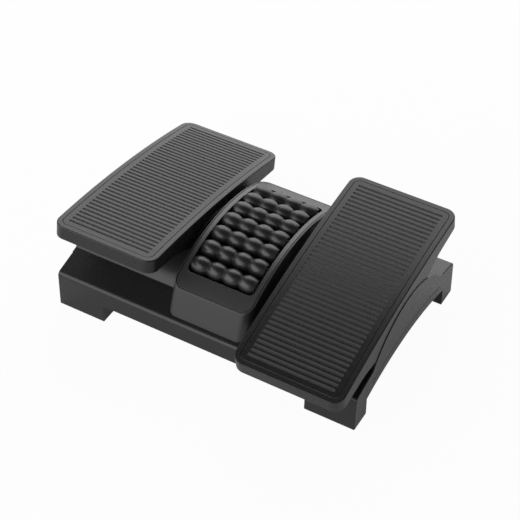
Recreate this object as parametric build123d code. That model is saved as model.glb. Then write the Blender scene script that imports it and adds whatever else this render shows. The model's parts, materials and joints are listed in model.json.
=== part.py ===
from build123d import *
import os
from math import acos, asin, atan, cos, degrees, hypot, radians, sin, sqrt

# Gliding footrest: two crowned pedals roll front to back over round humps in the base, beside a
# housing of massage rollers. X runs from left to right, -Y is the front, +Z is up. The origin is
# on the floor under the middle of the base. All sizes are in millimetres, angles in degrees.

# General clearances
wall = 3.0
run_gap = 0.3            # between faces of pieces that move past each other
pin_gap = 0.05           # radial, of a pin that turns in its hole
seat_gap = 0.02          # radial, of a pin that is pressed into its hole
cut_over = 2.0           # how far a cutting shape runs past the face that it opens

# Massage rollers
roller_count = 7
roller_bumps = 4
bump_length = 23.6
bump_radius = 12.8
waist_radius = 9.0
roller_gap = 1.2         # between neighbouring rollers, along the arc of their axes
roller_hub = 1.0         # hub at each end of a roller
roller_hub_radius = 5.0
roller_end_gap = 1.1     # from a hub to the side of the window
roller_axle_radius = 2.0

# Roller housing, bezel and cradle
crown_radius = 237.0
crown_height = 127.8     # highest point of the bezel above the floor
roller_sink = 6.0        # depth of the roller axes below the crown
window_end_gap = 3.3     # from the last roller to the end of the window
window_round = 7.0
window_edge = 0.8
window_rim = 9.7         # from the side of the window to the side of the housing
housing_end_rim = 24.3   # from the end of the window to the upper edge of the slanted end
housing_slant = 14.4     # how far the slanted ends run out towards their foot
housing_round = 14.0
housing_edge = 1.6       # rounding of the upper outer edge
housing_setback = 10.0   # from the foot of the housing to the edge of the base
bezel_inset = 2.6
bezel_thickness = 2.5
bezel_seam = 0.8
ledge_gap = 0.4          # from the cradle to the ledge under the bezel
ledge_thickness = 2.5
cradle_wall = 3.0
cradle_tray_gap = 2.2    # below the rollers
cradle_side_gap = 0.9    # from the side of the window to the cradle's wall

# Pedals
pedal_width = 154.2
pedal_length = 332.6
pedal_corner = 16.0
pedal_crown = 1450.0
pedal_rise = 14.8        # from the top of the hump to the top of the pedal
pedal_end_height = 19.5
pedal_inset = 0.9        # from the side of the base and of the hump
pedal_housing_gap = 10.9
rim_round = 1.5
skirt_round = 1.8        # rounding of the outer lower edge of a tray
rim_width = 7.4          # from the pedal's edge to the recess of the tread
tray_wall = 3.0
tray_floor = 3.0
skirt_clear = 11.3       # from the lowest point of a tray's sides to the hump's foot, at a stop
skirt_run = 44.6         # over which the lower edge of the sides dips towards the hump
tread_thickness = 3.0
tread_seam = 0.7
groove_count = 41
groove_width = 3.8
groove_depth = 1.2
groove_side_margin = 7.3
groove_end_margin = 8.7

# Base
foot_length = 72.0
foot_depth = 32.2
arch_height = 28.7       # clear height under the rails and at the ends of the side arches
arch_rise = 16.4
rail_height = 55.3
deck_slope = 0.24
ridge_round = 200.0
rail_draft = 2.2         # how far the front and rear lean in from the floor to the deck
rail_round = 7.2
corner_round = 1.5
foot_lap = 6.0           # how far the inner walls of a foot reach above the rails' lower edge
foot_floor = 4.0
foot_pad_proud = 1.0
foot_pad_thickness = 2.5
foot_pad_margin = 4.5
foot_pad_round = 4.0
rib_thickness = 2.5
rib_depth = 16.0
lip_height = 13.0        # from the side arch to the crease above it
lip_width = 1.0
lip_depth = 0.6

# Humps and the glide
swing_height = -9.8      # the axis that the pedals swing about, below the floor
hump_radius = 123.3
hump_foot_round = 4.0
swing_angle = 10.1       # from level to either stop
wheel_radius = 8.0
wheel_width = 10.0
wheel_edge = 1.0
wheel_inset = 14.0       # from the plate that carries its axle to the middle of a wheel
wheel_angle = 26.0       # from the middle of a pedal to its wheels
wheel_axle_radius = 2.0
wheel_axle_proud = 1.0
bearer_inset = 12.1      # from a tray's inner side to the plate that carries the wheel axles
bearer_thickness = 3.0
bearer_margin = 12.0     # plate left round the wheel axles
post_width = 36.0
post_length = 16.0
post_side_gap = 0.7
bumper_thickness = 4.0
keeper_width = 60.0
keeper_length = 30.0
keeper_thickness = 3.0

# Screws
screw_radius = 1.5
screw_head_radius = 3.2
screw_head_height = 2.0
screw_bite = 12.0        # how deep a screw reaches into the piece that it holds
screw_tip = 1.0          # free depth of the hole beyond the screw
boss_radius = 5.0
pillar_radius = 4.5
boss_drop = 5.3          # from the deck's edge down to the seats for the screw heads
keeper_screw_offset = 10.0
cradle_screw_side = 9.3  # from the side of the window
cradle_screw_end = 14.0  # from the end of the window
housing_screw_side = 13.0
housing_screw_end = 8.0  # from the upper edge of the slanted end

# Sizes that follow from the ones above
roller_length = roller_bumps * bump_length
window_width = roller_length + 2 * (roller_hub + roller_end_gap)
housing_width = window_width + 2 * window_rim
base_width = 2 * (pedal_inset + pedal_width + pedal_housing_gap) + housing_width
crown_centre = crown_height - crown_radius
roller_arc = crown_radius - roller_sink
roller_pitch = 2 * bump_radius + roller_gap
roller_step = degrees(roller_pitch / roller_arc)
last_roller = roller_arc * sin(radians(roller_step * (roller_count - 1) / 2))
window_half = last_roller + bump_radius + window_end_gap
housing_top_half = window_half + housing_end_rim
housing_foot_half = housing_top_half + housing_slant
half_depth = housing_foot_half + housing_setback
half_width = base_width / 2
cradle_inner_x = window_width / 2 + cradle_side_gap
cradle_outer_x = cradle_inner_x + cradle_wall
cradle_length = 2 * (window_half + cradle_wall)
foot_bottom = foot_pad_proud
pedal_x = half_width - pedal_inset - pedal_width / 2
pedal_half = pedal_length / 2
pedal_top = hump_radius + pedal_rise
pedal_crown_centre = pedal_top - pedal_crown
hump_width = pedal_width + 2 * pedal_inset
hump_inner_x = half_width - hump_width
saddle_radius = hump_radius + run_gap
hump_inside = hump_radius - wall
rail_lean = rail_draft / rail_height
ridge_height = rail_height + deck_slope * half_depth
foot_reach = (ridge_height - swing_height) / (hump_radius * sqrt(1 + deck_slope ** 2))
hump_foot_angle = degrees(acos(foot_reach) + atan(deck_slope))
skirt_angle = hump_foot_angle - swing_angle - degrees(skirt_clear / hump_radius)
skirt_start = saddle_radius * sin(radians(skirt_angle)) + skirt_run
bearer_x = pedal_width / 2 - tray_wall - bearer_inset
wheel_x = bearer_x - wheel_inset
wheel_orbit = hump_radius + run_gap + wheel_radius
post_angle = degrees(asin(post_length / 2 / hump_radius))
bumper_angle = degrees(bumper_thickness / hump_radius)
gap_angle = degrees(run_gap / hump_inside)
slot_angle = swing_angle + post_angle + gap_angle + bumper_angle
keeper_top = sqrt(hump_inside ** 2 - (keeper_length / 2) ** 2) - run_gap
boss_bottom = rail_height - boss_drop
swing_axis = Axis((0, 0, swing_height), (1, 0, 0))
sides = {"left": -1, "right": 1}
ends = {"front": -1, "rear": 1}


# Solid between two places along X, from an outline drawn with Y to the right and Z up
def prism(outline, x_low, x_high):
    return extrude(Plane.YZ.offset(x_low) * outline, x_high - x_low)


# Outline of straight lines through the given points
def polygon(*points):
    return make_face(Polyline(*points, close=True))


# Point at a distance and an angle from the swing axis, the angle counted from the top to the rear
def polar(radius, angle):
    return (radius * sin(radians(angle)), swing_height + radius * cos(radians(angle)))


# Ring piece about the swing axis
def sector(inner, outer, angle_low, angle_high):
    middle = (angle_low + angle_high) / 2
    edges = [
        ThreePointArc(polar(outer, angle_low), polar(outer, middle), polar(outer, angle_high)),
        Line(polar(outer, angle_high), polar(inner, angle_high)),
        ThreePointArc(polar(inner, angle_high), polar(inner, middle), polar(inner, angle_low)),
        Line(polar(inner, angle_low), polar(outer, angle_low)),
    ]
    return make_face(edges)


# Height of the deck at a distance from the middle, before its ridge is rounded
def deck_height(y):
    return ridge_height - deck_slope * abs(y)


# Outline under the deck, set in by a wall on all sides but the bottom
def deck_outline(inset, bottom):
    drop = inset * sqrt(1 + deck_slope ** 2)
    edge = (deck_height(half_depth - inset) - drop) / (1 - deck_slope * rail_lean)
    reach = half_depth - inset - rail_lean * edge
    foot = half_depth - inset - rail_lean * bottom
    outline = polygon(
        (-foot, bottom), (-reach, edge), (0, deck_height(0) - drop), (reach, edge), (foot, bottom)
    )
    outline = fillet(outline.vertices().sort_by(Axis.Y)[-1], ridge_round - inset)
    shoulders = outline.vertices().filter_by(lambda v: v.Y > bottom + wall and abs(v.X) > reach - wall)
    return fillet(shoulders, max(rail_round - inset, wall / 2))


# Everything under the deck's upper face, for trimming what stands on it
def below_deck():
    return prism(deck_outline(0, -half_depth), -half_width, half_width)


# Outline of the space under a side arch
def arch_outline(lift):
    spring = half_depth - foot_depth
    edges = [
        Line((-spring, -cut_over), (-spring, arch_height + lift)),
        ThreePointArc(
            (-spring, arch_height + lift), (0, arch_height + arch_rise + lift), (spring, arch_height + lift)
        ),
        Line((spring, arch_height + lift), (spring, -cut_over)),
        Line((spring, -cut_over), (-spring, -cut_over)),
    ]
    return make_face(edges)


# Corners of a rectangle centred on the origin
def four(x, y):
    return [(sx * x, sy * y) for sx in (-1, 1) for sy in (-1, 1)]


def screw(x, y, seat, length):
    shank = Pos(x, y, seat) * Cylinder(screw_radius, length, align=(Align.CENTER, Align.CENTER, Align.MIN))
    head = Pos(x, y, seat) * Cylinder(
        screw_head_radius, screw_head_height, align=(Align.CENTER, Align.CENTER, Align.MAX)
    )
    return shank + head


def upright(x, y, radius, low, high):
    return Pos(x, y, low) * Cylinder(radius, high - low, align=(Align.CENTER, Align.CENTER, Align.MIN))


cradle_screws_at = four(window_width / 2 - cradle_screw_side, window_half - cradle_screw_end)
housing_screws_at = four(housing_width / 2 - housing_screw_side, housing_top_half - housing_screw_end)


def foot_centre(side, end):
    return (side * (half_width - foot_length / 2), end * (half_depth - foot_depth / 2))


# One moulded shell with an open underside
def base_shell():
    block = prism(deck_outline(0, foot_bottom), -half_width, half_width)
    block = fillet(block.edges().filter_by(is_base_corner), corner_round)
    body = block
    cavity = prism(deck_outline(wall, -cut_over), wall - half_width, half_width - wall)
    for side in sides.values():
        x_low, x_high = sorted((side * hump_inner_x, side * half_width))
        body += prism(hump_outline(), x_low, x_high)
        cavity += prism(hump_disc(hump_inside), x_low + wall, x_high - wall)
    body -= cavity
    body += (feet() & block) + ribs() + screw_bosses()
    body -= prism(arch_outline(0), -base_width, base_width)
    rail_gap = base_width - 2 * foot_length
    body -= Pos(0, 0, -cut_over) * Box(
        rail_gap, 3 * half_depth, arch_height + cut_over, align=(Align.CENTER, Align.CENTER, Align.MIN)
    )
    return body - shell_cuts()


# True for the leaning edges at the four corners of the base
def is_base_corner(edge):
    middle = edge.center()
    near = min(abs(middle.X) - half_width, abs(middle.Y) - half_depth) > -wall
    return near and edge.geom_type == GeomType.LINE


# Round outline about the swing axis, cut off at the height of the rails
def hump_disc(radius):
    above_rails = Pos(0, rail_height + radius) * Rectangle(2 * radius, 2 * radius)
    return Pos(0, swing_height) * Circle(radius) & above_rails


# Side view of a hump, its feet blended into the deck
def hump_outline():
    outline = deck_outline(0, foot_bottom) + hump_disc(hump_radius)
    outline = fillet(outline.vertices().filter_by(is_hump_foot), hump_foot_round)
    reach = hump_radius * sin(radians(hump_foot_angle)) + 2 * hump_foot_round
    return outline & Pos(0, rail_height + hump_radius) * Rectangle(2 * reach, 2 * hump_radius)


# True for the points where a hump rises out of the deck
def is_hump_foot(point):
    return abs(hypot(point.X, point.Y - swing_height) - hump_radius) < seat_gap


# Hollow boxes at the corners, open towards the inside of the shell and thicker than it on the outside
def feet():
    boxes = Part()
    for side in sides.values():
        for end in ends.values():
            x, y = foot_centre(side, end)
            height = arch_height + foot_lap - foot_bottom
            outside = extrude(RectangleRounded(foot_length + wall, foot_depth + wall, corner_round), height)
            inside = extrude(Rectangle(foot_length - 2 * wall, foot_depth - 2 * wall), height)
            box = Pos(side * wall / 2, end * wall / 2) * outside - Pos(0, 0, foot_floor) * inside
            boxes += Pos(x, y, foot_bottom) * box
    return boxes


# Plates under the deck, beside the housing
def ribs():
    plates = Part()
    lower = deck_outline(wall + rib_depth, -cut_over)
    for side in sides.values():
        x = side * (housing_width / 2 + rib_thickness)
        x_low, x_high = x - rib_thickness / 2, x + rib_thickness / 2
        plates += prism(deck_outline(wall / 2, arch_height), x_low, x_high) - prism(lower, x_low, x_high)
    return plates


# Seats for the screw heads, cut off at the underside of the deck
def screw_bosses():
    bosses = Part()
    for x, y in cradle_screws_at + housing_screws_at:
        bosses += upright(x, y, boss_radius, boss_bottom, deck_height(0))
    return bosses & prism(deck_outline(wall / 2, 0), -half_width, half_width)


# Screw holes, pad recesses, pedal slots and the crease above the side arches
def shell_cuts():
    cuts = Part()
    for x, y in cradle_screws_at + housing_screws_at:
        cuts += upright(x, y, screw_radius + pin_gap, 0, deck_height(0))
    for side in sides.values():
        for end in ends.values():
            x, y = foot_centre(side, end)
            cuts += Pos(x, y) * extrude(foot_pad_outline(), foot_pad_thickness)
        slot = sector(hump_inside - wall, hump_radius + wall, -slot_angle, slot_angle)
        half = post_width / 2 + post_side_gap
        cuts += prism(slot, side * pedal_x - half, side * pedal_x + half)
        crease = arch_outline(lip_height + lip_width) - arch_outline(lip_height)
        crease &= Rectangle(2 * (half_depth - foot_depth - lip_height), 4 * rail_height)
        x_low, x_high = sorted((side * (half_width - lip_depth), side * (half_width + lip_depth)))
        cuts += prism(crease, x_low, x_high)
    return cuts


def foot_pad_outline():
    width = foot_length - 2 * foot_pad_margin
    depth = foot_depth - 2 * foot_pad_margin
    return RectangleRounded(width, depth, foot_pad_round)


def foot_pad(side, end):
    x, y = foot_centre(side, end)
    return Pos(x, y) * extrude(foot_pad_outline(), foot_pad_thickness)


# Block of the housing's outer shape or, set in by a wall, of its inside
def housing_block(inset, crown_drop):
    radius = crown_radius - crown_drop
    top_half = housing_top_half - inset
    foot_half = housing_foot_half - inset
    shoulder = crown_centre + sqrt(radius ** 2 - top_half ** 2)
    foot = deck_height(housing_foot_half)
    edges = [
        ThreePointArc((-top_half, shoulder), (0, crown_centre + radius), (top_half, shoulder)),
        Line((top_half, shoulder), (foot_half, foot)),
        Line((foot_half, foot), (-foot_half, foot)),
        Line((-foot_half, foot), (-top_half, shoulder)),
    ]
    half = housing_width / 2 - inset
    block = prism(make_face(edges), -half, half)
    corners = block.edges().filter_by(lambda e: e.center().Z < shoulder and is_corner(e, half))
    return fillet(corners, housing_round - inset)


# Outer shape of the housing with its upper edge rounded
def housing_outside():
    block = housing_block(0, 0)
    return fillet(block.faces().sort_by(Axis.Z)[-1].edges(), housing_edge)


# Height of the crown above the floor at a distance from the middle
def crown_at(y):
    return crown_centre + sqrt(crown_radius ** 2 - y ** 2)


# True for the four slanting corner edges of the housing
def is_corner(edge, half):
    start, end = edge.position_at(0), edge.position_at(1)
    return abs(abs(edge.center().X) - half) < seat_gap and abs(start.Z - end.Z) > wall


# Layer under the crown between two depths, over a rounded rectangle
def crown_layer(depth_low, depth_high, width, length, corner):
    x = width / 2
    disc = Pos(0, crown_centre) * Circle(crown_radius - depth_low)
    core = Pos(0, crown_centre) * Circle(crown_radius - depth_high)
    plan = extrude(RectangleRounded(width, length, corner), crown_height + cut_over)
    return (prism(disc, -x, x) - prism(core, -x, x)) & plan


def roller_housing():
    outside = housing_outside()
    inside = housing_block(wall, bezel_thickness + ledge_thickness)
    recess = crown_layer(-cut_over, bezel_thickness, *bezel_plan(0))
    opening = Rectangle(2 * (cradle_outer_x + ledge_gap), cradle_length + 2 * ledge_gap)
    opening = extrude(opening, crown_height + cut_over)
    shell = outside - inside - recess - opening
    ledge_middle = housing_block(wall / 2, bezel_thickness + ledge_thickness / 2)
    for x, y in housing_screws_at:
        shell += upright(x, y, pillar_radius, 0, crown_height) & ledge_middle
    for x, y in housing_screws_at:
        shell -= upright(x, y, screw_radius, 0, deck_height(y) + screw_bite + screw_tip)
    return shell - below_deck()


# Width, length and corner radius of the bezel's recess, or of the bezel itself inside its seam
def bezel_plan(gap):
    width = housing_width - 2 * (bezel_inset + gap)
    length = 2 * (housing_top_half - bezel_inset - gap)
    return width, length, housing_round - bezel_inset - gap


def roller_bezel():
    plate = crown_layer(0, bezel_thickness, *bezel_plan(bezel_seam))
    window = extrude(RectangleRounded(window_width, 2 * window_half, window_round), crown_height + cut_over)
    plate -= window
    inner_edges = plate.faces().sort_by(Axis.Z)[-1].inner_wires()[0].edges()
    return fillet(inner_edges, window_edge)


def roller_place(number):
    angle = radians(roller_step * (number - (roller_count - 1) / 2))
    return (roller_arc * sin(angle), crown_centre + roller_arc * cos(angle))


# Frame under the bezel that carries the roller axles
def roller_cradle():
    floor_depth = roller_sink + bump_radius + cradle_tray_gap
    top_depth = bezel_thickness + run_gap
    top = Pos(0, crown_centre) * Circle(crown_radius - top_depth)
    span = Pos(0, crown_height / 2) * Rectangle(cradle_length, crown_height)
    solid = prism(top & span, -cradle_outer_x, cradle_outer_x)
    pit = extrude(Rectangle(2 * cradle_inner_x, 2 * window_half), crown_height)
    tray = crown_layer(floor_depth, floor_depth + cradle_wall, 2 * cradle_outer_x, cradle_length, wall)
    frame = (solid - pit) + tray
    for x, y in cradle_screws_at:
        frame += upright(x, y, pillar_radius, 0, crown_at(y) - floor_depth - cradle_wall / 2)
    for x, y in cradle_screws_at:
        frame -= upright(x, y, screw_radius, 0, deck_height(y) + screw_bite + screw_tip)
    for number in range(roller_count):
        hole = Pos(*roller_place(number)) * Circle(roller_axle_radius + seat_gap)
        frame -= prism(hole, -half_width, half_width)
    return frame - below_deck()


def roller_axle(number):
    return prism(Pos(*roller_place(number)) * Circle(roller_axle_radius), -cradle_outer_x, cradle_outer_x)


# Row of barrel bumps turned about its own axis, with a hub at each end
def massage_roller(number):
    half = roller_length / 2
    bore = roller_axle_radius + pin_gap
    tip = half + roller_hub
    edges = [
        Line((-half, waist_radius), (-half, roller_hub_radius)),
        Line((-half, roller_hub_radius), (-tip, roller_hub_radius)),
        Line((-tip, roller_hub_radius), (-tip, bore)),
        Line((-tip, bore), (tip, bore)),
        Line((tip, bore), (tip, roller_hub_radius)),
        Line((tip, roller_hub_radius), (half, roller_hub_radius)),
        Line((half, roller_hub_radius), (half, waist_radius)),
    ]
    for bump in range(roller_bumps):
        start = bump * bump_length - half
        middle, end = start + bump_length / 2, start + bump_length
        edges.append(ThreePointArc((start, waist_radius), (middle, bump_radius), (end, waist_radius)))
    y, z = roller_place(number)
    return Pos(0, y, z) * revolve(make_face(edges), Axis.X)


# Pedal pieces are drawn level with their middle at X = 0, then moved to their side and tilted to
# the stop that they rest on: the left one tips its front up, the right one its front down
def place(piece, side):
    moved = Pos(side * pedal_x, 0, 0) * piece
    return moved.rotate(swing_axis, side * swing_angle)


# Height of the pedal's crown above the swing axis at a distance from its middle
def pedal_crown_at(y):
    return pedal_crown_centre + sqrt(pedal_crown ** 2 - y ** 2)


# Side view of a pedal, whose lower edge dips to the hump and follows it
def pedal_side():
    top = swing_height + pedal_crown_at(pedal_half)
    low = top - pedal_end_height
    dip_rear = polar(saddle_radius, skirt_angle)
    dip_front = polar(saddle_radius, -skirt_angle)
    edges = [
        ThreePointArc((-pedal_half, top), (0, swing_height + pedal_top), (pedal_half, top)),
        Line((pedal_half, top), (pedal_half, low)),
        Line((pedal_half, low), (skirt_start, low)),
        TangentArc((skirt_start, low), dip_rear, tangent=(-1, 0)),
        ThreePointArc(dip_rear, polar(saddle_radius, 0), dip_front),
        TangentArc((-skirt_start, low), dip_front, tangent=(1, 0)),
        Line((-skirt_start, low), (-pedal_half, low)),
        Line((-pedal_half, low), (-pedal_half, top)),
    ]
    return make_face(edges)


# Width, length and corner radius of a pedal's outline, set in on all sides
def pedal_plan(inset):
    return pedal_width - 2 * inset, pedal_length - 2 * inset, pedal_corner - inset


# Layer under the pedal's crown between two depths, over a rounded rectangle
def pedal_layer(depth_low, depth_high, width, length, corner):
    x = width / 2
    centre = swing_height + pedal_crown_centre
    disc = Pos(0, centre) * Circle(pedal_crown - depth_low)
    core = Pos(0, centre) * Circle(pedal_crown - depth_high)
    plan = Pos(0, 0, swing_height) * extrude(RectangleRounded(width, length, corner), pedal_top + cut_over)
    return (prism(disc, -x, x) - prism(core, -x, x)) & plan


# Everything under the middle of a tray's floor, for trimming what grows out of it
def under_floor():
    return pedal_layer(tread_thickness + tray_floor / 2, pedal_crown / 2, *pedal_plan(0))


# True for the lower edges of a tray's outside, from each end to where the sides dip to the hump
def is_skirt_edge(edge):
    low = swing_height + pedal_crown_at(pedal_half) - pedal_end_height
    start, end = edge.position_at(0), edge.position_at(1)
    return max(abs(start.Z - low), abs(end.Z - low)) < seat_gap and abs(edge.center().Y) > skirt_start


def pedal_tray():
    block = prism(pedal_side(), -pedal_width / 2, pedal_width / 2)
    corners = block.edges().filter_by(Axis.Z)
    block = fillet(corners, pedal_corner)
    body = fillet(block.faces().sort_by(Axis.Z)[-1].edges(), rim_round)
    body = fillet(body.edges().filter_by(is_skirt_edge), skirt_round)
    floor_depth = tread_thickness + tray_floor
    hollow = pedal_layer(floor_depth, pedal_crown / 2, *pedal_plan(tray_wall))
    recess = pedal_layer(-cut_over, tread_thickness, *pedal_plan(rim_width))
    body = body - hollow - recess
    return body + wheel_bearers() + glide_post()


# Plates under the tray that carry the wheel axles
def wheel_bearers():
    margin = degrees(bearer_margin / wheel_orbit)
    plate = sector(saddle_radius, 2 * pedal_top, -wheel_angle - margin, wheel_angle + margin)
    for sign in ends.values():
        plate -= Pos(*polar(wheel_orbit, sign * wheel_angle)) * Circle(wheel_axle_radius + pin_gap)
    plates = Part()
    for sign in sides.values():
        x = sign * bearer_x
        plates += prism(plate, x - bearer_thickness / 2, x + bearer_thickness / 2)
    return plates & under_floor()


# Block that reaches through the slot in the hump and holds the keeper
def glide_post():
    post = sector(keeper_top / 2, 2 * pedal_top, -post_angle, post_angle)
    keeper_plane = swing_height + keeper_top
    post &= Pos(0, keeper_plane + pedal_top) * Rectangle(2 * pedal_top, 2 * pedal_top)
    block = prism(post, -post_width / 2, post_width / 2) & under_floor()
    for sign in sides.values():
        x = sign * keeper_screw_offset
        block -= upright(x, 0, screw_radius, keeper_plane - cut_over, keeper_plane + screw_bite + screw_tip)
    return block


# Rod along X with round ends
def capsule(radius, half):
    edges = [
        CenterArc((half, 0), radius, 0, 90),
        Line((half, radius), (-half, radius)),
        CenterArc((-half, 0), radius, 90, 90),
        Line((-half - radius, 0), (half + radius, 0)),
    ]
    return revolve(make_face(edges), Axis.X)


# Ribbed plate set into the tray, with rounded grooves across it
def tread_plate():
    width, length, corner = pedal_plan(rim_width + tread_seam)
    plate = pedal_layer(0, tread_thickness, width, length, corner)
    radius = (groove_width ** 2 / 4 + groove_depth ** 2) / (2 * groove_depth)
    half = width / 2 - groove_side_margin - groove_width / 2
    pitch = (length - 2 * groove_end_margin) / (groove_count - 1)
    centre = swing_height + pedal_crown_centre
    orbit = pedal_crown + radius - groove_depth
    cutters = []
    for number in range(groove_count):
        angle = (number - (groove_count - 1) / 2) * pitch / pedal_crown
        y, z = orbit * sin(angle), centre + orbit * cos(angle)
        cutters.append(Pos(0, y, z) * capsule(radius, half))
    return plate - cutters


def keeper_holes(radius):
    holes = Part()
    low = swing_height + keeper_top - keeper_thickness - cut_over
    for sign in sides.values():
        holes += upright(sign * keeper_screw_offset, 0, radius, low, low + keeper_thickness + 2 * cut_over)
    return holes


# Plate under the hump that keeps a pedal from lifting off
def keeper():
    plate = Pos(0, 0, swing_height + keeper_top - keeper_thickness / 2) * Box(
        keeper_width, keeper_length, keeper_thickness
    )
    return plate - keeper_holes(screw_radius + pin_gap)


def keeper_screws():
    seat = swing_height + keeper_top - keeper_thickness
    length = keeper_thickness + screw_bite
    return [screw(sign * keeper_screw_offset, 0, seat, length) for sign in sides.values()]


def wheel_axle(end):
    reach = bearer_x + bearer_thickness / 2 + wheel_axle_proud
    return prism(Pos(*polar(wheel_orbit, end * wheel_angle)) * Circle(wheel_axle_radius), -reach, reach)


def glide_wheel(end, across):
    middle = across * wheel_x
    ring = Pos(*polar(wheel_orbit, end * wheel_angle)) * (
        Circle(wheel_radius) - Circle(wheel_axle_radius + seat_gap)
    )
    wheel = prism(ring, middle - wheel_width / 2, middle + wheel_width / 2)
    rims = wheel.edges().filter_by(GeomType.CIRCLE).filter_by(lambda e: e.radius > wheel_radius - seat_gap)
    return fillet(rims, wheel_edge)


# Rubber block at one end of a pedal's slot
def stop_bumper(side, end):
    angles = sorted((end * (slot_angle - bumper_angle), end * slot_angle))
    half = post_width / 2 + post_side_gap
    return prism(sector(hump_inside, hump_radius, *angles), side * pedal_x - half, side * pedal_x + half)


def save(shape, node):
    pieces = shape if isinstance(shape, list) else [shape]
    solids = [solid for piece in pieces for solid in piece.solids()]
    export_step(Compound(children=solids), f"parts/{node}.step")


os.makedirs("parts", exist_ok=True)
save(base_shell(), "base_shell")
save(roller_housing(), "roller_housing")
save(roller_bezel(), "roller_bezel")
save(roller_cradle(), "roller_cradle")
for number in range(roller_count):
    save(roller_axle(number), f"roller_axle_{number + 1}")
    save(massage_roller(number), f"massage_roller_{number + 1}")
save(
    [screw(x, y, boss_bottom, deck_height(y) - boss_bottom + screw_bite) for x, y in cradle_screws_at],
    "cradle_screws",
)
save(
    [screw(x, y, boss_bottom, deck_height(y) - boss_bottom + screw_bite) for x, y in housing_screws_at],
    "housing_screws",
)
level_tray = pedal_tray()
level_tread = tread_plate()
for side_name, side in sides.items():
    save(place(level_tray, side), f"pedal_tray_{side_name}")
    save(place(level_tread, side), f"tread_plate_{side_name}")
    save(place(keeper(), side), f"keeper_{side_name}")
    save([place(piece, side) for piece in keeper_screws()], f"keeper_screws_{side_name}")
    for end_name, end in ends.items():
        save(foot_pad(side, end), f"foot_pad_{end_name}_{side_name}")
        save(stop_bumper(side, end), f"stop_bumper_{end_name}_{side_name}")
        save(place(wheel_axle(end), side), f"wheel_axle_{end_name}_{side_name}")
        for across_name, across in {"outer": side, "inner": -side}.items():
            save(place(glide_wheel(end, across), side), f"glide_wheel_{across_name}_{end_name}_{side_name}")
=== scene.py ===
import json
from math import cos, pi, radians, sin, tan

import bmesh
import bpy
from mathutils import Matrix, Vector


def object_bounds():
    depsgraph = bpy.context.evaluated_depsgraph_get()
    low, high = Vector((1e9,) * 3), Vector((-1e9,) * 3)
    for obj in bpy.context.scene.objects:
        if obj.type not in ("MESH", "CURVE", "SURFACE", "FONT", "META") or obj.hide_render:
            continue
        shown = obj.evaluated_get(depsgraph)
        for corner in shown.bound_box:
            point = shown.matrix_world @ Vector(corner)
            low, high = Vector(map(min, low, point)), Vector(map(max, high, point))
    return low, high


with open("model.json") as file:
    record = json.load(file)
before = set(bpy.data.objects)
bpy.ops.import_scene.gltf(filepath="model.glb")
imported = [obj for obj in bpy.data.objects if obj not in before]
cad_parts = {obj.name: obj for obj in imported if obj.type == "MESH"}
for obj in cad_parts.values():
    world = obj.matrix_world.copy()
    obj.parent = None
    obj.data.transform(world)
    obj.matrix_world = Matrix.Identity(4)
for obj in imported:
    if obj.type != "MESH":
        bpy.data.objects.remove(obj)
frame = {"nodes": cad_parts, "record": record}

scene = bpy.context.scene
nodes = frame["nodes"]
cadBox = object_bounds()
slotOf = {part["node"]: part["material_slot"] for part in frame["record"]["subparts"]}
print("frame loaded,", len(nodes), "nodes")


# small helpers for node trees
def addNode(tree, kind, **settings):
    node = tree.nodes.new(kind)
    for key, value in settings.items():
        setattr(node, key, value)
    return node


def wire(tree, source, target):
    tree.links.new(source, target)


def newGroup(name, inputs, outputs):
    group = bpy.data.node_groups.new(name, "ShaderNodeTree")
    for socketName, kind, value in inputs:
        socket = group.interface.new_socket(socketName, in_out="INPUT", socket_type=kind)
        socket.default_value = value
    for socketName, kind in outputs:
        group.interface.new_socket(socketName, in_out="OUTPUT", socket_type=kind)
    return group, addNode(group, "NodeGroupInput"), addNode(group, "NodeGroupOutput")


def mathNode(tree, operation, first, second, clamp=False):
    node = addNode(tree, "ShaderNodeMath", operation=operation, use_clamp=clamp)
    for socket, value in zip(node.inputs, (first, second)):
        if isinstance(value, bpy.types.NodeSocket):
            wire(tree, value, socket)
        else:
            socket.default_value = value
    return node.outputs[0]


# fine spark-eroded grain of a moulded face, in pebbles and a softer noise
grainNoise = dict(share=0.45, detail=3.0)


def makeMouldGrain():
    group, given, result = newGroup(
        "mouldGrain",
        [("Pebbles", "NodeSocketFloat", 900.0), ("Softness", "NodeSocketFloat", 0.5)],
        [("Height", "NodeSocketFloat"), ("Speckle", "NodeSocketFloat")],
    )
    place = addNode(group, "ShaderNodeTexCoord")
    pebble = addNode(group, "ShaderNodeTexVoronoi", feature="SMOOTH_F1")
    wire(group, place.outputs["Object"], pebble.inputs["Vector"])
    wire(group, given.outputs["Pebbles"], pebble.inputs["Scale"])
    wire(group, given.outputs["Softness"], pebble.inputs["Smoothness"])
    noise = addNode(group, "ShaderNodeTexNoise")
    noise.inputs["Detail"].default_value = grainNoise["detail"]
    wire(group, place.outputs["Object"], noise.inputs["Vector"])
    wire(group, mathNode(group, "MULTIPLY", given.outputs["Pebbles"], grainNoise["share"]), noise.inputs["Scale"])
    height = mathNode(group, "ADD", pebble.outputs["Distance"], noise.outputs["Fac"])
    wire(group, height, result.inputs["Height"])
    wire(group, noise.outputs["Fac"], result.inputs["Speckle"])
    return group


# slow change of tone over a large moulding, from flow and cooling
flowNoise = dict(detail=5.0, roughness=0.6)


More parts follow.
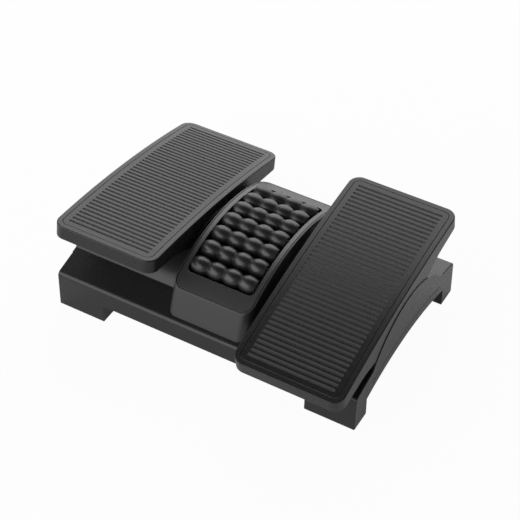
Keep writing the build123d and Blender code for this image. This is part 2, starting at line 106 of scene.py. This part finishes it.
def makeFlowTone():
    group, given, result = newGroup(
        "flowTone",
        [
            ("Dark", "NodeSocketColor", (0.04, 0.04, 0.04, 1.0)),
            ("Light", "NodeSocketColor", (0.06, 0.06, 0.06, 1.0)),
            ("Scale", "NodeSocketFloat", 14.0),
        ],
        [("Color", "NodeSocketColor"), ("Fac", "NodeSocketFloat")],
    )
    place = addNode(group, "ShaderNodeTexCoord")
    noise = addNode(group, "ShaderNodeTexNoise")
    noise.inputs["Detail"].default_value = flowNoise["detail"]
    noise.inputs["Roughness"].default_value = flowNoise["roughness"]
    wire(group, place.outputs["Object"], noise.inputs["Vector"])
    wire(group, given.outputs["Scale"], noise.inputs["Scale"])
    blend = addNode(group, "ShaderNodeMix", data_type="RGBA")
    wire(group, noise.outputs["Fac"], blend.inputs["Factor"])
    wire(group, given.outputs["Dark"], blend.inputs["A"])
    wire(group, given.outputs["Light"], blend.inputs["B"])
    wire(group, blend.outputs["Result"], result.inputs["Color"])
    wire(group, noise.outputs["Fac"], result.inputs["Fac"])
    return group


# rounded look of moulded edges, with a mask where handling polishes them
edgeWear = dict(samples=6, detail=4.0, gain=6.0)


def makeSoftEdge():
    group, given, result = newGroup(
        "softEdge",
        [("Radius", "NodeSocketFloat", 0.0008), ("Wear Scale", "NodeSocketFloat", 90.0)],
        [("Normal", "NodeSocketVector"), ("Worn", "NodeSocketFloat")],
    )
    bevel = addNode(group, "ShaderNodeBevel", samples=edgeWear["samples"])
    wire(group, given.outputs["Radius"], bevel.inputs["Radius"])
    surface = addNode(group, "ShaderNodeNewGeometry")
    facing = addNode(group, "ShaderNodeVectorMath", operation="DOT_PRODUCT")
    wire(group, bevel.outputs["Normal"], facing.inputs[0])
    wire(group, surface.outputs["Normal"], facing.inputs[1])
    turned = mathNode(group, "SUBTRACT", 1.0, facing.outputs["Value"])
    place = addNode(group, "ShaderNodeTexCoord")
    noise = addNode(group, "ShaderNodeTexNoise")
    noise.inputs["Detail"].default_value = edgeWear["detail"]
    wire(group, place.outputs["Object"], noise.inputs["Vector"])
    wire(group, given.outputs["Wear Scale"], noise.inputs["Scale"])
    patches = mathNode(group, "MULTIPLY", noise.outputs["Fac"], edgeWear["gain"])
    patchy = mathNode(group, "MULTIPLY", turned, patches)
    wire(group, bevel.outputs["Normal"], result.inputs["Normal"])
    wire(group, mathNode(group, "MINIMUM", patchy, 1.0, clamp=True), result.inputs["Worn"])
    return group


# how deep a place lies in the grooves of a tread, from the crown that its lands follow
def makeGrooveDepth():
    group, given, result = newGroup(
        "grooveDepth",
        [
            ("Crown", "NodeSocketFloat", 1.45),
            ("Lean", "NodeSocketFloat", 0.23),
            ("Drop", "NodeSocketFloat", 1.3),
            ("Full Depth", "NodeSocketFloat", 0.0006),
        ],
        [("Mask", "NodeSocketFloat")],
    )
    place = addNode(group, "ShaderNodeTexCoord")
    split = addNode(group, "ShaderNodeSeparateXYZ")
    wire(group, place.outputs["Object"], split.inputs["Vector"])
    lean = mathNode(group, "MULTIPLY", mathNode(group, "SIGN", split.outputs["X"], 0.0), given.outputs["Lean"])
    along = mathNode(group, "POWER", mathNode(group, "SUBTRACT", split.outputs["Y"], lean), 2.0)
    above = mathNode(group, "POWER", mathNode(group, "ADD", split.outputs["Z"], given.outputs["Drop"]), 2.0)
    reach = mathNode(group, "SQRT", mathNode(group, "ADD", along, above), 0.0)
    depth = mathNode(group, "SUBTRACT", given.outputs["Crown"], reach)
    share = mathNode(group, "DIVIDE", depth, given.outputs["Full Depth"], clamp=True)
    wire(group, share, result.inputs["Mask"])
    return group


mouldGrain = makeMouldGrain()
flowTone = makeFlowTone()
softEdge = makeSoftEdge()
grooveDepth = makeGrooveDepth()


def placeGroup(tree, group, **values):
    node = addNode(tree, "ShaderNodeGroup", node_tree=group)
    for key, value in values.items():
        node.inputs[key.replace("_", " ")].default_value = value
    return node


def grey(value, tint=0.0):
    return (value, value, value + tint, 1.0)


def newMaterial(name):
    material = bpy.data.materials.new(name)
    material.use_nodes = True
    return material, material.node_tree, material.node_tree.nodes["Principled BSDF"]


# colour that gives way to another by a mask
def blendColor(tree, shader, base, mask, other):
    blend = addNode(tree, "ShaderNodeMix", data_type="RGBA")
    blend.inputs["B"].default_value = other
    wire(tree, mask, blend.inputs["Factor"])
    wire(tree, base, blend.inputs["A"])
    wire(tree, blend.outputs["Result"], shader.inputs["Base Color"])


def spreadRoughness(tree, shader, source, roughness, sourceRange=(0.0, 1.0)):
    rough = addNode(tree, "ShaderNodeMapRange")
    rough.inputs["From Min"].default_value, rough.inputs["From Max"].default_value = sourceRange
    rough.inputs["To Min"].default_value, rough.inputs["To Max"].default_value = roughness
    wire(tree, source, rough.inputs["Value"])
    wire(tree, rough.outputs["Result"], shader.inputs["Roughness"])


def addBump(tree, shader, height, strength, depth, normal=None):
    bump = addNode(tree, "ShaderNodeBump")
    bump.inputs["Strength"].default_value = strength
    bump.inputs["Distance"].default_value = depth
    wire(tree, height, bump.inputs["Height"])
    if normal:
        wire(tree, normal, bump.inputs["Normal"])
    wire(tree, bump.outputs["Normal"], shader.inputs["Normal"])


# moulded plastic: flow tone, polished edges, grain in the roughness and the bump
speckleRange = (0.3, 0.7)  # where the grain's noise mostly lies


def mouldedPlastic(name, look):
    material, tree, shader = newMaterial(name)
    shader.inputs["IOR"].default_value = look["ior"]
    dark, light, worn = (grey(look[key], look["tint"]) for key in ("dark", "light", "worn"))
    tone = placeGroup(tree, flowTone, Dark=dark, Light=light, Scale=look["toneScale"])
    edge = placeGroup(tree, softEdge, Radius=look["edgeRadius"], Wear_Scale=look["wearScale"])
    grain = placeGroup(tree, mouldGrain, Pebbles=look["pebbles"], Softness=look["softness"])
    blendColor(tree, shader, tone.outputs["Color"], edge.outputs["Worn"], worn)
    spreadRoughness(tree, shader, grain.outputs["Speckle"], look["roughness"], speckleRange)
    addBump(tree, shader, grain.outputs["Height"], look["grainStrength"], look["grainDepth"], edge.outputs["Normal"])
    return material


# shoes polish the lands of a tread and leave its grooves rough and dusty
def roughenGrooves(material, look):
    tree = material.node_tree
    shader = tree.nodes["Principled BSDF"]
    depth = placeGroup(tree, grooveDepth, Crown=look["crown"], Lean=look["lean"], Drop=look["drop"],
                       Full_Depth=look["fullDepth"])
    plain = shader.inputs["Base Color"].links[0].from_socket
    blendColor(tree, shader, plain, depth.outputs["Mask"], grey(look["dust"]))
    rough = mathNode(tree, "MULTIPLY", depth.outputs["Mask"], look["roughening"])
    rough = mathNode(tree, "ADD", shader.inputs["Roughness"].links[0].from_socket, rough)
    wire(tree, rough, shader.inputs["Roughness"])


shellLook = dict(dark=0.017, light=0.023, tint=0.0, toneScale=16.0, worn=0.030, edgeRadius=0.0009, wearScale=80.0,
                 pebbles=1100.0, softness=0.6, roughness=(0.25, 0.35), grainStrength=0.25, grainDepth=0.00015, ior=1.45)
pedalLook = dict(dark=0.014, light=0.019, tint=0.0, toneScale=14.0, worn=0.030, edgeRadius=0.0008, wearScale=90.0,
                 pebbles=1100.0, softness=0.6, roughness=(0.25, 0.35), grainStrength=0.25, grainDepth=0.00015, ior=1.45)
treadLook = dict(dark=0.011, light=0.014, tint=0.0, toneScale=18.0, worn=0.030, edgeRadius=0.0005, wearScale=140.0,
                 pebbles=1400.0, softness=0.5, roughness=(0.25, 0.35), grainStrength=0.14, grainDepth=0.0001, ior=1.45)
bezelLook = dict(dark=0.032, light=0.040, tint=0.0, toneScale=20.0, worn=0.045, edgeRadius=0.0005, wearScale=120.0,
                 pebbles=1200.0, softness=0.6, roughness=(0.30, 0.40), grainStrength=0.22, grainDepth=0.00012, ior=1.6)
# the roller housing is moulded in the shell's plastic; this lighter copy of it is painted light, standing for the extra
# light its slanted front catches
housingLitShellLook = dict(dark=0.030, light=0.038, tint=0.0, toneScale=16.0, worn=0.050, edgeRadius=0.0008, wearScale=90.0,
                   pebbles=1100.0, softness=0.6, roughness=(0.30, 0.40), grainStrength=0.25, grainDepth=0.00015,
                   ior=1.5)
rollerLook = dict(dark=0.013, light=0.018, tint=0.0, toneScale=40.0, worn=0.030, edgeRadius=0.0006, wearScale=160.0,
                  pebbles=1600.0, softness=0.7, roughness=(0.29, 0.37), grainStrength=0.12, grainDepth=0.0001, ior=1.55)
innerLook = dict(dark=0.010, light=0.016, tint=0.0, toneScale=24.0, worn=0.026, edgeRadius=0.0004, wearScale=120.0,
                 pebbles=1200.0, softness=0.6, roughness=(0.45, 0.60), grainStrength=0.2, grainDepth=0.0001, ior=1.5)
wheelLook = dict(dark=0.27, light=0.33, tint=-0.006, toneScale=60.0, worn=0.22, edgeRadius=0.0004, wearScale=260.0,
                 pebbles=1800.0, softness=0.7, roughness=(0.32, 0.46), grainStrength=0.12, grainDepth=0.00008, ior=1.48)

finishes = {
    "shell_plastic": mouldedPlastic("shellPlastic", shellLook),
    "pedal_plastic": mouldedPlastic("pedalPlastic", pedalLook),
    "tread_plastic": mouldedPlastic("treadPlastic", treadLook),
    "bezel_plastic": mouldedPlastic("bezelPlastic", bezelLook),
    "roller_housing": mouldedPlastic("housingLitShellPlastic", housingLitShellLook),
    "roller_plastic": mouldedPlastic("rollerPlastic", rollerLook),
    "inner_plastic": mouldedPlastic("innerPlastic", innerLook),
    "wheel_plastic": mouldedPlastic("wheelPlastic", wheelLook),
}
# the crown's axis in the rest pose, where the two treads lean opposite ways
grooveLook = dict(crown=1.45, lean=0.23006, drop=1.30137, fullDepth=0.0006, dust=0.053, roughening=0.38)
roughenGrooves(finishes["tread_plastic"], grooveLook)
print("plastics made")

# rubber of the foot pads and stops: dull, with a dusty bloom
rubberLook = dict(dark=0.016, light=0.030, toneScale=60.0, bloom=0.07, edgeRadius=0.0005, pebbles=700.0,
                  roughness=(0.68, 0.86), grainStrength=0.5, grainDepth=0.0002)


def dullRubber(name, look):
    material, tree, shader = newMaterial(name)
    tone = placeGroup(tree, flowTone, Dark=grey(look["dark"]), Light=grey(look["light"]), Scale=look["toneScale"])
    edge = placeGroup(tree, softEdge, Radius=look["edgeRadius"])
    grain = placeGroup(tree, mouldGrain, Pebbles=look["pebbles"])
    blendColor(tree, shader, tone.outputs["Color"], edge.outputs["Worn"], grey(look["bloom"]))
    spreadRoughness(tree, shader, grain.outputs["Speckle"], look["roughness"])
    addBump(tree, shader, grain.outputs["Height"], look["grainStrength"], look["grainDepth"], edge.outputs["Normal"])
    return material


finishes["foot_rubber"] = dullRubber("footRubber", rubberLook)
finishes["stop_rubber"] = dullRubber("stopRubber", rubberLook)
print("rubbers made")

# steel: the axles are ground along their length, the screws are zinc plated
axleLook = dict(dark=0.42, light=0.56, tint=0.01, toneScale=90.0, lines=(12.0, 2600.0, 2600.0),
                roughness=(0.22, 0.42), scratch=0.12, scratchDepth=0.00005)
screwLook = dict(dark=0.40, light=0.52, tint=0.01, toneScale=220.0, lines=(900.0, 900.0, 120.0),
                 roughness=(0.28, 0.46), scratch=0.10, scratchDepth=0.00005)


def groundSteel(name, look):
    material, tree, shader = newMaterial(name)
    shader.inputs["Metallic"].default_value = 1.0
    light = grey(look["light"], look["tint"])
    tone = placeGroup(tree, flowTone, Dark=grey(look["dark"]), Light=light, Scale=look["toneScale"])
    wire(tree, tone.outputs["Color"], shader.inputs["Base Color"])
    place = addNode(tree, "ShaderNodeTexCoord")
    stretch = addNode(tree, "ShaderNodeMapping")
    stretch.inputs["Scale"].default_value = look["lines"]
    scratches = addNode(tree, "ShaderNodeTexNoise")
    scratches.inputs["Scale"].default_value = 1.0
    wire(tree, place.outputs["Object"], stretch.inputs["Vector"])
    wire(tree, stretch.outputs["Vector"], scratches.inputs["Vector"])
    spreadRoughness(tree, shader, scratches.outputs["Fac"], look["roughness"])
    addBump(tree, shader, scratches.outputs["Fac"], look["scratch"], look["scratchDepth"])
    return material


finishes["axle_steel"] = groundSteel("axleSteel", axleLook)
finishes["screw_steel"] = groundSteel("screwSteel", screwLook)
print("steels made")

# the roller housing takes its painted-light lighter copy of the shell plastic by its node name; the other nodes take
# their slot's finish
for name, piece in nodes.items():
    for slot in piece.material_slots:
        slot.material = finishes.get(name, finishes[slotOf[name]])
print("finishes placed on", len(nodes), "nodes")

# floor: pale, white to the lens, dimmer in reflections, still holding the object's shadow, clear from below
floorLook = dict(size=14.0, tone=0.85, roughness=0.9, whiteShare=0.96, mirrorShare=0.22)


# how white a stage piece is to a ray: fully to the lens, partly in reflections, not at all as light
def whiteToRays(tree, look):
    rays = addNode(tree, "ShaderNodeLightPath")
    mirrored = mathNode(tree, "MAXIMUM", rays.outputs["Is Glossy Ray"], rays.outputs["Is Transmission Ray"])
    mirrored = mathNode(tree, "MULTIPLY", mirrored, look["mirrorShare"])
    seen = mathNode(tree, "MULTIPLY", rays.outputs["Is Camera Ray"], look["whiteShare"])
    return mathNode(tree, "MAXIMUM", seen, mirrored)


def makeFloor(look):
    mesh = bpy.data.meshes.new("floor")
    build = bmesh.new()
    bmesh.ops.create_grid(build, x_segments=1, y_segments=1, size=look["size"] / 2)
    build.to_mesh(mesh)
    build.free()
    floor = bpy.data.objects.new("floor", mesh)
    scene.collection.objects.link(floor)
    material, tree, shader = newMaterial("paleFloor")
    shader.inputs["Base Color"].default_value = grey(look["tone"])
    shader.inputs["Roughness"].default_value = look["roughness"]
    shader.inputs["Specular IOR Level"].default_value = 0.0
    white = addNode(tree, "ShaderNodeEmission")
    mix = addNode(tree, "ShaderNodeMixShader")
    wire(tree, whiteToRays(tree, look), mix.inputs["Fac"])
    wire(tree, shader.outputs["BSDF"], mix.inputs[1])
    wire(tree, white.outputs["Emission"], mix.inputs[2])
    below = addNode(tree, "ShaderNodeNewGeometry")
    clear = addNode(tree, "ShaderNodeBsdfTransparent")
    sheet = addNode(tree, "ShaderNodeMixShader")
    wire(tree, below.outputs["Backfacing"], sheet.inputs["Fac"])
    wire(tree, mix.outputs["Shader"], sheet.inputs[1])
    wire(tree, clear.outputs["BSDF"], sheet.inputs[2])
    wire(tree, sheet.outputs["Shader"], tree.nodes["Material Output"].inputs["Surface"])
    mesh.materials.append(material)


makeFloor(floorLook)
print("floor made")

# room: white to the lens, a trace of that in reflections, dim round the horizon, dark overhead
roomLook = dict(horizon=0.25, ceiling=0.0, fadeFrom=0.65, fadeTo=0.87, white=0.98, whiteShare=1.0, mirrorShare=0.03)


def makeRoom(look):
    world = bpy.data.worlds.new("studioRoom")
    world.use_nodes = True
    tree = world.node_tree
    background = tree.nodes["Background"]
    place = addNode(tree, "ShaderNodeTexCoord")
    split = addNode(tree, "ShaderNodeSeparateXYZ")
    wire(tree, place.outputs["Generated"], split.inputs["Vector"])
    ramp = addNode(tree, "ShaderNodeValToRGB")
    ramp.color_ramp.elements[0].position = look["fadeFrom"]
    ramp.color_ramp.elements[0].color = grey(look["horizon"])
    ramp.color_ramp.elements[1].position = look["fadeTo"]
    ramp.color_ramp.elements[1].color = grey(look["ceiling"])
    wire(tree, split.outputs["Z"], ramp.inputs["Fac"])
    seen = addNode(tree, "ShaderNodeMix", data_type="RGBA")
    seen.inputs["B"].default_value = grey(look["white"])
    wire(tree, whiteToRays(tree, look), seen.inputs["Factor"])
    wire(tree, ramp.outputs["Color"], seen.inputs["A"])
    wire(tree, seen.outputs["Result"], background.inputs["Color"])
    scene.world = world


makeRoom(roomLook)
print("room made")

# soft panels: three above one another behind, one to the left of the front
lowPanel = dict(name="lowPanel", azimuth=197.0, elevation=14.0, distance=2.4, size=(2.8, 1.2), radiance=1.75)
highPanel = dict(name="highPanel", azimuth=197.0, elevation=42.0, distance=2.4, size=(2.8, 1.2), radiance=2.5)
topPanel = dict(name="topPanel", azimuth=203.0, elevation=60.5, distance=2.4, size=(1.6, 0.5), radiance=1.3)
leftPanel = dict(name="leftPanel", azimuth=327.0, elevation=23.0, distance=2.4, size=(3.6, 2.0), radiance=2.3)


# azimuth counts from the front (-Y) towards the right (+X)
def direction(azimuth, elevation):
    turn, rise = radians(azimuth), radians(elevation)
    return Vector((sin(turn) * cos(rise), -cos(turn) * cos(rise), sin(rise)))


def addPanel(look, middle):
    lamp = bpy.data.lights.new(look["name"], "AREA")
    lamp.shape = "RECTANGLE"
    lamp.size, lamp.size_y = look["size"]
    lamp.energy = look["radiance"] * pi * look["size"][0] * look["size"][1]
    panel = bpy.data.objects.new(look["name"], lamp)
    towards = direction(look["azimuth"], look["elevation"])
    panel.location = middle + towards * look["distance"]
    panel.rotation_euler = towards.to_track_quat("Z", "Y").to_euler()
    panel.visible_camera = False
    scene.collection.objects.link(panel)


middle = (Vector(cadBox[0]) + Vector(cadBox[1])) / 2
for panel in (lowPanel, highPanel, topPanel, leftPanel):
    addPanel(panel, middle)
print("panels placed")

# camera: from the right front, looking down
lensLook = dict(azimuth=30.01, elevation=43.95, distance=2.11175, aim=(-0.00594, 0.02003, 0.05002),
                fieldOfView=18.898, farLimit=50.0)


def addCamera(look):
    camera = bpy.data.cameras.new("camera")
    camera.sensor_fit = "HORIZONTAL"
    camera.lens = camera.sensor_width / 2 / tan(radians(look["fieldOfView"] / 2))
    camera.clip_end = look["farLimit"]
    holder = bpy.data.objects.new("camera", camera)
    towards = direction(look["azimuth"], look["elevation"])
    holder.location = Vector(look["aim"]) + towards * look["distance"]
    holder.rotation_euler = towards.to_track_quat("Z", "Y").to_euler()
    scene.collection.objects.link(holder)
    scene.camera = holder


addCamera(lensLook)
scene.view_settings.view_transform = "Standard"
print("camera placed")
